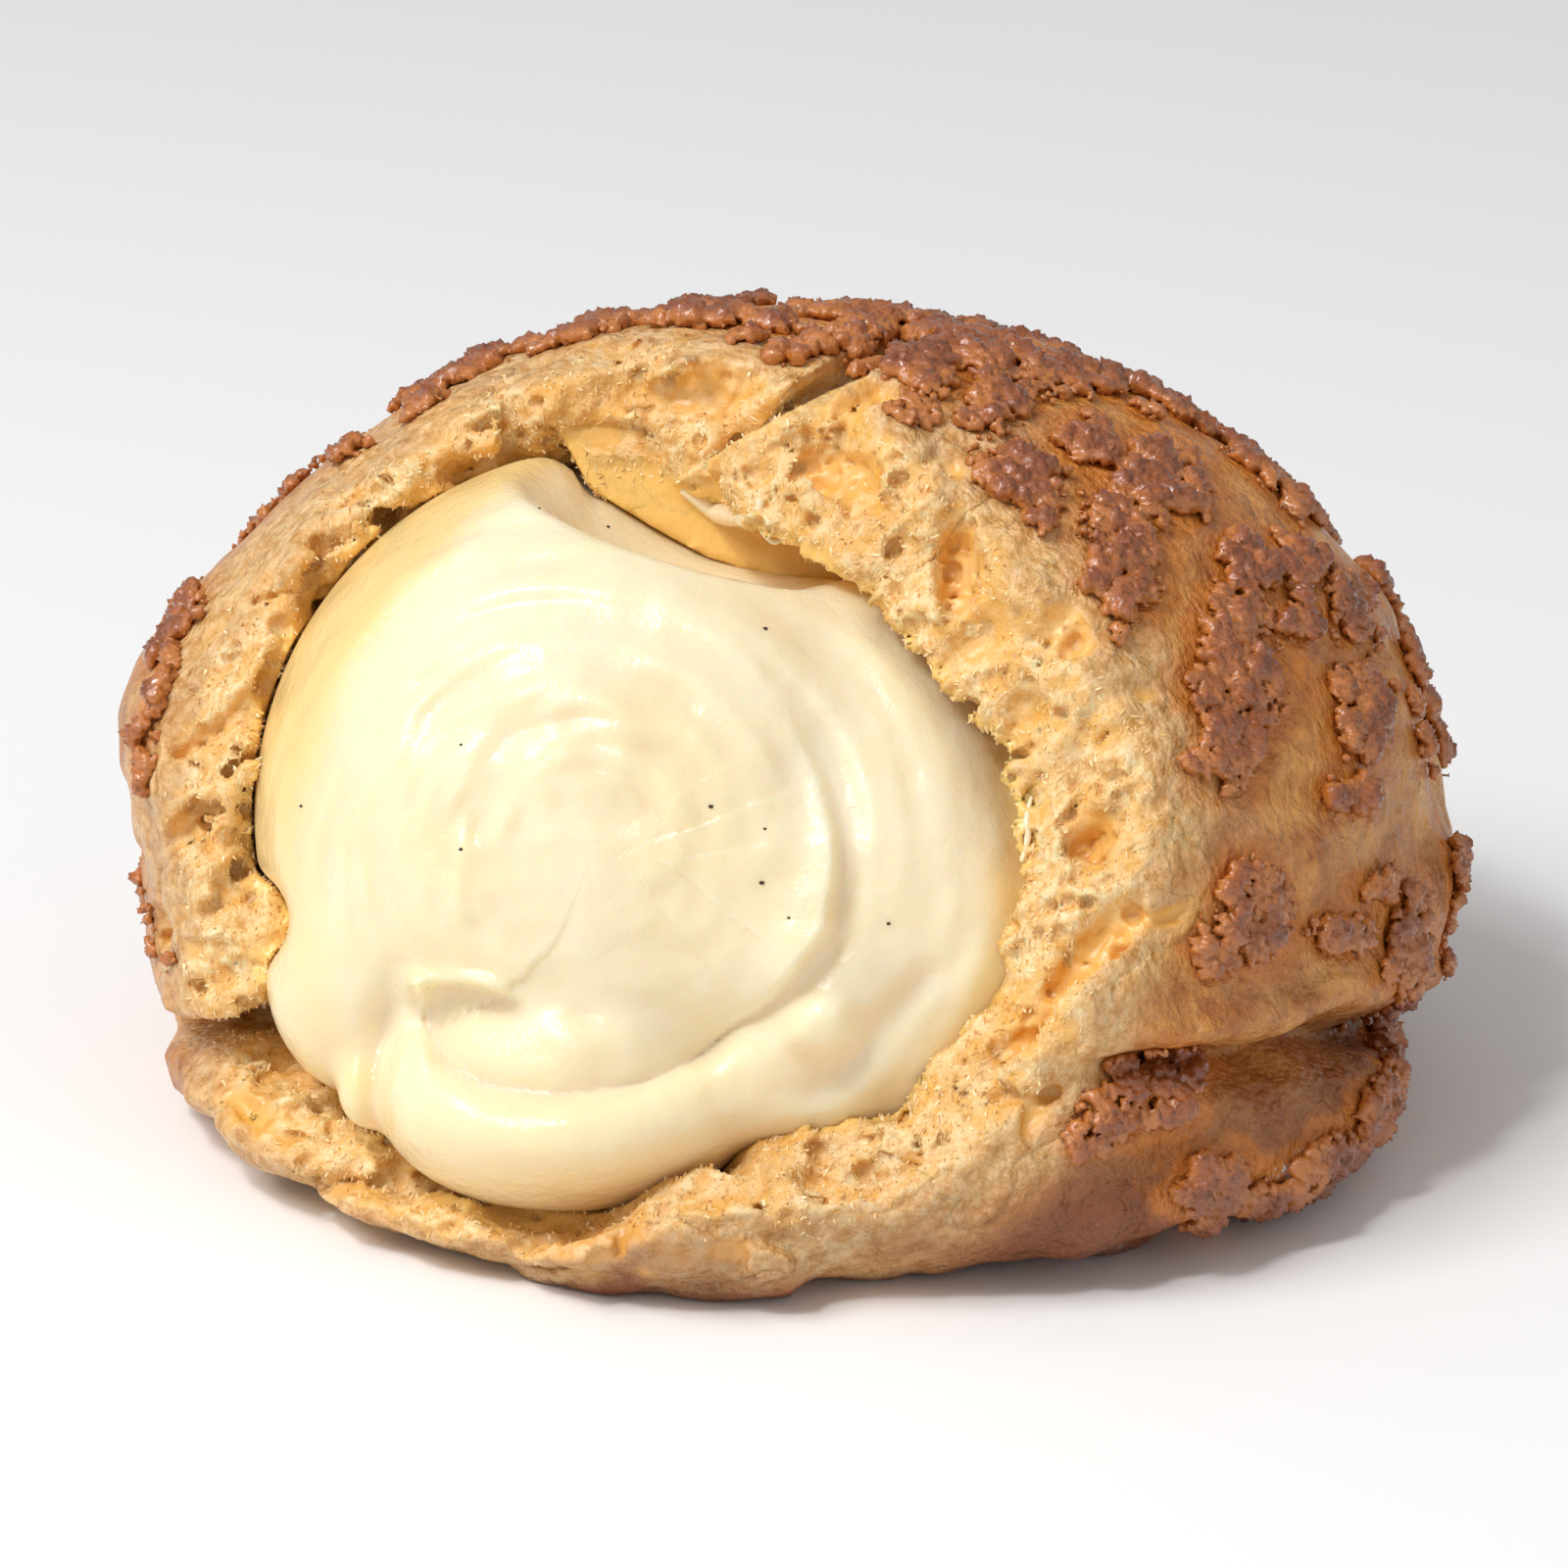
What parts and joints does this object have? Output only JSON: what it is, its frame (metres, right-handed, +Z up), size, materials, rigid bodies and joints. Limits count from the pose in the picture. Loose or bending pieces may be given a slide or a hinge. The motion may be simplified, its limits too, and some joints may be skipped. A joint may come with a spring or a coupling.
{
  "type": "cream puff",
  "caption": "Round baked choux pastry with a crumbly cookie crust, torn open at the front so that vanilla custard bulges out of the hollow inside.",
  "frame": {"origin": "centre of the flat baked base, on the surface that the puff rests on", "axes": "+Z up through the dome; +X to the right and -Y to the front, where the torn mouth with the custard is"},
  "size_m": [0.088, 0.0831, 0.0536],
  "materials": {
    "baked_choux": "baked, dry and crumbly, golden to dark brown",
    "custard": "soft, wet gloss, pale yellow"
  },
  "bodies": {
    "root": {"choux_shell": "baked_choux", "custard_cream": "custard"}
  },
  "joints": []
}
